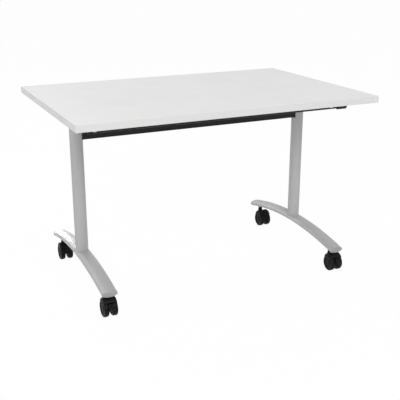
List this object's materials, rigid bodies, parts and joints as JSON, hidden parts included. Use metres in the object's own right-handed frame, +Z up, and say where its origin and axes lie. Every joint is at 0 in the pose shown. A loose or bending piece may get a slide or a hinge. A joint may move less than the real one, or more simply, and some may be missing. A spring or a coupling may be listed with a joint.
{
  "type": "flip top training table",
  "caption": "Rectangular training table whose board tips upright about a central pivot on two round column legs with arched feet and swivelling twin-wheel castors.",
  "frame": {"origin": "on the floor, under the middle of the board", "axes": "+X along the board's length, to the right of the user; +Y from the user's side to the back; +Z up"},
  "size_m": [1.2, 0.8, 0.735],
  "materials": {
    "laminate": "pale grey-white melamine on chipboard, fine satin texture",
    "edging": "pale satin edge banding",
    "silver_paint": "silver powder coat on steel tube",
    "black_paint": "fine black powder coat on steel",
    "zinc_steel": "bright zinc plate",
    "nylon": "moulded black nylon",
    "grey_plastic": "moulded grey plastic",
    "rubber": "soft black rubber"
  },
  "bodies": {
    "frame": {"crossbeam": "black_paint", "column_left": "silver_paint", "foot_left": "silver_paint", "foot_cap_front_left": "grey_plastic", "foot_cap_back_left": "grey_plastic", "pivot_head_left": "black_paint", "pivot_pin_left": "zinc_steel", "column_right": "silver_paint", "foot_right": "silver_paint", "foot_cap_front_right": "grey_plastic", "foot_cap_back_right": "grey_plastic", "pivot_head_right": "black_paint", "pivot_pin_right": "zinc_steel", "castor_stem_front_left": "black_paint", "castor_stem_front_right": "black_paint", "castor_stem_back_left": "black_paint", "castor_stem_back_right": "black_paint"},
    "top": {"tabletop": "laminate", "edge_front": "edging", "edge_back": "edging", "edge_left": "edging", "edge_right": "edging", "top_bracket_left": "black_paint", "pivot_bush_outer_left": "grey_plastic", "pivot_bush_inner_left": "grey_plastic", "pawl_pin_left": "zinc_steel", "pawl_spring_left": "zinc_steel", "flip_buffer_left": "rubber", "top_bracket_right": "black_paint", "pivot_bush_outer_right": "grey_plastic", "pivot_bush_inner_right": "grey_plastic", "pawl_pin_right": "zinc_steel", "pawl_spring_right": "zinc_steel", "flip_buffer_right": "rubber"},
    "release": {"release_bar": "black_paint", "release_grip": "rubber", "release_bar_cap": "nylon", "pawl_left": "zinc_steel", "pawl_right": "zinc_steel"},
    "castor_front_left": {"castor_hood_front_left": "nylon", "castor_axle_front_left": "zinc_steel"},
    "wheel_front_left_left": {"castor_wheel_front_left_left": "nylon"},
    "wheel_front_left_right": {"castor_wheel_front_left_right": "nylon"},
    "pedal_front_left": {"brake_pedal_front_left": "nylon"},
    "castor_front_right": {"castor_hood_front_right": "nylon", "castor_axle_front_right": "zinc_steel"},
    "wheel_front_right_left": {"castor_wheel_front_right_left": "nylon"},
    "wheel_front_right_right": {"castor_wheel_front_right_right": "nylon"},
    "pedal_front_right": {"brake_pedal_front_right": "nylon"},
    "castor_back_left": {"castor_hood_back_left": "nylon", "castor_axle_back_left": "zinc_steel"},
    "wheel_back_left_left": {"castor_wheel_back_left_left": "nylon"},
    "wheel_back_left_right": {"castor_wheel_back_left_right": "nylon"},
    "castor_back_right": {"castor_hood_back_right": "nylon", "castor_axle_back_right": "zinc_steel"},
    "wheel_back_right_left": {"castor_wheel_back_right_left": "nylon"},
    "wheel_back_right_right": {"castor_wheel_back_right_right": "nylon"}
  },
  "joints": [
    {"name": "top_flip", "type": "hinge", "parent": "frame", "child": "top", "pos_m": [0, 0, 0.664], "axis": [-1, 0, 0], "range_deg": [0, 90]},
    {"name": "release_lift", "type": "hinge", "parent": "top", "child": "release", "pos_m": [0, -0.062, 0.692], "axis": [-1, 0, 0], "range_deg": [0, 5], "stiffness_Nm_per_rad": 30, "springref_deg": -5.73, "deforming": ["pawl_spring_left", "pawl_spring_right"]},
    {"name": "castor_swivel_front_left", "type": "hinge", "parent": "frame", "child": "castor_front_left", "pos_m": [-0.49, -0.2945, 0.06], "axis": [0, 0, 1], "continuous": true},
    {"name": "wheel_spin_front_left_left", "type": "hinge", "parent": "castor_front_left", "child": "wheel_front_left_left", "pos_m": [-0.506, -0.3195, 0.0325], "axis": [1, 0, 0], "continuous": true},
    {"name": "wheel_spin_front_left_right", "type": "hinge", "parent": "castor_front_left", "child": "wheel_front_left_right", "pos_m": [-0.474, -0.3195, 0.0325], "axis": [1, 0, 0], "continuous": true},
    {"name": "brake_press_front_left", "type": "hinge", "parent": "castor_front_left", "child": "pedal_front_left", "pos_m": [-0.49, -0.34945, 0.05507], "axis": [1, 0, 0], "range_deg": [0, 20]},
    {"name": "castor_swivel_front_right", "type": "hinge", "parent": "frame", "child": "castor_front_right", "pos_m": [0.49, -0.2945, 0.06], "axis": [0, 0, 1], "continuous": true},
    {"name": "wheel_spin_front_right_left", "type": "hinge", "parent": "castor_front_right", "child": "wheel_front_right_left", "pos_m": [0.474, -0.3195, 0.0325], "axis": [1, 0, 0], "continuous": true},
    {"name": "wheel_spin_front_right_right", "type": "hinge", "parent": "castor_front_right", "child": "wheel_front_right_right", "pos_m": [0.506, -0.3195, 0.0325], "axis": [1, 0, 0], "continuous": true},
    {"name": "brake_press_front_right", "type": "hinge", "parent": "castor_front_right", "child": "pedal_front_right", "pos_m": [0.49, -0.34945, 0.05507], "axis": [1, 0, 0], "range_deg": [0, 20]},
    {"name": "castor_swivel_back_left", "type": "hinge", "parent": "frame", "child": "castor_back_left", "pos_m": [-0.49, 0.2945, 0.06], "axis": [0, 0, 1], "continuous": true},
    {"name": "wheel_spin_back_left_left", "type": "hinge", "parent": "castor_back_left", "child": "wheel_back_left_left", "pos_m": [-0.506, 0.2695, 0.0325], "axis": [1, 0, 0], "continuous": true},
    {"name": "wheel_spin_back_left_right", "type": "hinge", "parent": "castor_back_left", "child": "wheel_back_left_right", "pos_m": [-0.474, 0.2695, 0.0325], "axis": [1, 0, 0], "continuous": true},
    {"name": "castor_swivel_back_right", "type": "hinge", "parent": "frame", "child": "castor_back_right", "pos_m": [0.49, 0.2945, 0.06], "axis": [0, 0, 1], "continuous": true},
    {"name": "wheel_spin_back_right_left", "type": "hinge", "parent": "castor_back_right", "child": "wheel_back_right_left", "pos_m": [0.474, 0.2695, 0.0325], "axis": [1, 0, 0], "continuous": true},
    {"name": "wheel_spin_back_right_right", "type": "hinge", "parent": "castor_back_right", "child": "wheel_back_right_right", "pos_m": [0.506, 0.2695, 0.0325], "axis": [1, 0, 0], "continuous": true}
  ]
}
